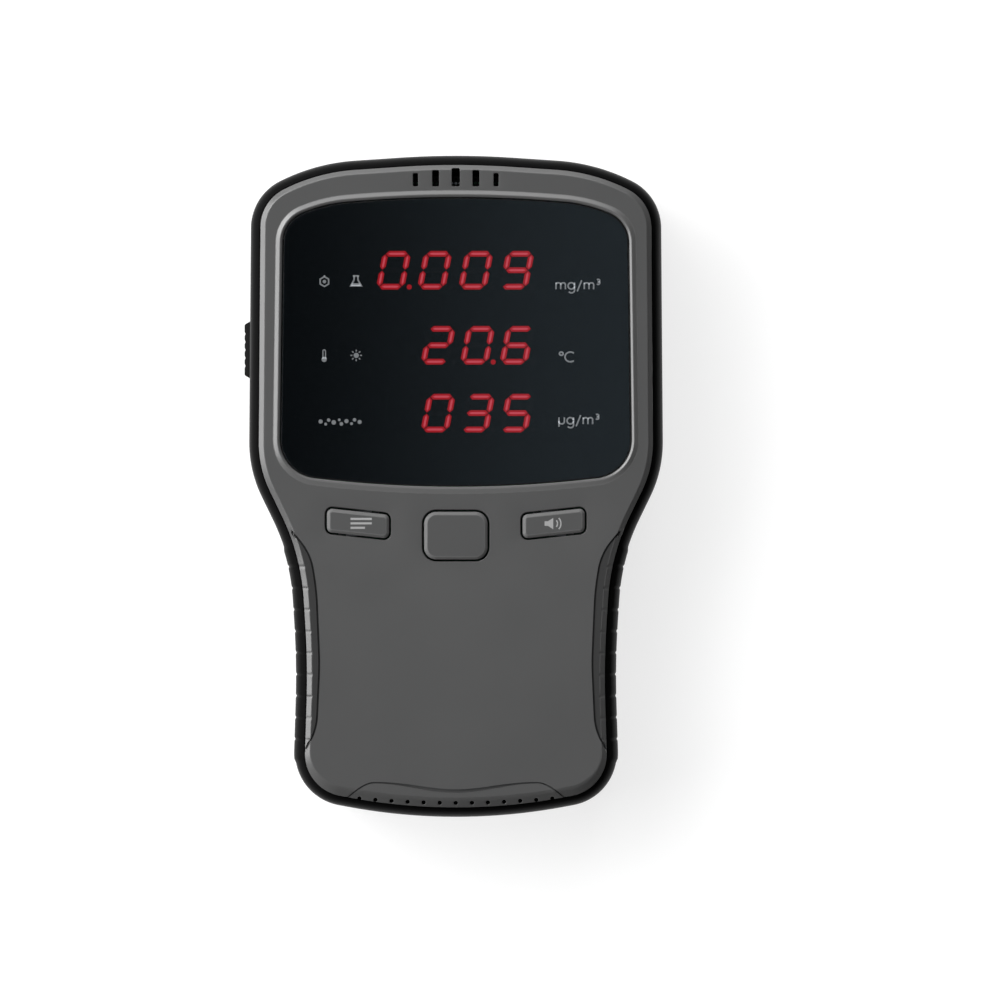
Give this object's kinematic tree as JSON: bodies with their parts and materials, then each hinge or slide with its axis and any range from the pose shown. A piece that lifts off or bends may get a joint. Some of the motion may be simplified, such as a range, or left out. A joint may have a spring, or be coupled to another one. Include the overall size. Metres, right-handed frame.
{
  "type": "air quality monitor",
  "caption": "Handheld air quality monitor with rows of segment displays behind a smoked lens, a waisted ribbed handle, keys, a side power slider and air vents.",
  "frame": {"origin": "centre of the flat back, midway along the body, which lies on its back", "axes": "+Z out of the display face, +Y towards the display end, +X to the right of someone reading the display"},
  "size_m": [0.0991, 0.1565, 0.0346],
  "materials": {
    "grey_plastic": "satin",
    "black_plastic": "fine texture",
    "smoked_lens": "gloss",
    "black_film": "matte",
    "black_foam": "matte",
    "steel_mesh": "satin",
    "dark_plastic": "satin",
    "steel_part": "satin",
    "slider_plastic": "fine texture",
    "white_plastic": "satin",
    "grip_plastic": "fine texture",
    "screw_steel": "satin",
    "green_board": "satin",
    "display_black": "matte",
    "red_segments": "glowing",
    "ferrite": "matte",
    "aluminium_can": "satin",
    "brass_disc": "satin",
    "battery_foil": "satin",
    "red_wire": "satin",
    "black_wire": "satin",
    "blue_plastic": "satin",
    "grey_wire": "satin",
    "blank_label": "satin"
  },
  "bodies": {
    "housing": {"face_panel": "grey_plastic", "front_shell": "black_plastic", "back_shell": "black_plastic", "display_lens": "smoked_lens", "lens_film": "black_film", "lens_tape": "black_foam", "vent_screen": "steel_mesh", "tact_switches": "steel_part", "power_switch_body": "steel_part", "left_grip": "grip_plastic", "right_grip": "grip_plastic", "case_screws": "screw_steel", "board_screws": "screw_steel", "main_board": "green_board", "top_row_display": "display_black", "middle_row_display": "display_black", "bottom_row_display": "display_black", "top_row_segments": "red_segments", "middle_row_segments": "red_segments", "bottom_row_segments": "red_segments", "processor_chip": "dark_plastic", "driver_chip": "dark_plastic", "charger_chip": "dark_plastic", "charger_coil": "ferrite", "capacitors": "aluminium_can", "climate_sensor": "white_plastic", "gas_sensor_can": "steel_part", "gas_sensor_screen": "white_plastic", "buzzer_case": "dark_plastic", "buzzer_disc": "brass_disc", "usb_shell": "steel_part", "usb_tongue": "dark_plastic", "battery_pack": "battery_foil", "battery_pad": "black_foam", "battery_lead_red": "red_wire", "battery_lead_black": "black_wire", "battery_plug": "white_plastic", "battery_socket": "white_plastic", "dust_sensor_tray": "blue_plastic", "dust_sensor_lid": "steel_part", "dust_sensor_board": "green_board", "dust_fan_stator": "brass_disc", "dust_laser": "brass_disc", "dust_detector": "dark_plastic", "dust_sensor_cable": "grey_wire", "cable_plugs": "white_plastic", "rating_label": "blank_label"},
    "fn_key": {"fn_key": "grey_plastic", "fn_plunger": "dark_plastic"},
    "centre_key": {"centre_key": "grey_plastic", "centre_plunger": "dark_plastic"},
    "mute_key": {"mute_key": "grey_plastic", "mute_plunger": "dark_plastic"},
    "power_slider": {"power_slider": "slider_plastic", "power_switch_lever": "white_plastic"},
    "dust_fan": {"dust_fan_rotor": "dark_plastic"}
  },
  "joints": [
    {"name": "fn_key_press", "type": "slide", "parent": "housing", "child": "fn_key", "axis": [0, 0, -1], "range_m": [0, 0.0005], "stiffness_N_per_m": 600, "springref_m": -0.0005},
    {"name": "centre_key_press", "type": "slide", "parent": "housing", "child": "centre_key", "axis": [0, 0, -1], "range_m": [0, 0.0005], "stiffness_N_per_m": 600, "springref_m": -0.0005},
    {"name": "mute_key_press", "type": "slide", "parent": "housing", "child": "mute_key", "axis": [0, 0, -1], "range_m": [0, 0.0005], "stiffness_N_per_m": 600, "springref_m": -0.0005},
    {"name": "power_slider_slide", "type": "slide", "parent": "housing", "child": "power_slider", "axis": [0, -1, 0], "range_m": [0, 0.003]},
    {"name": "dust_fan_spin", "type": "hinge", "parent": "housing", "child": "dust_fan", "pos_m": [0.011, 0.036, 0], "axis": [0, 0, 1], "continuous": true}
  ]
}
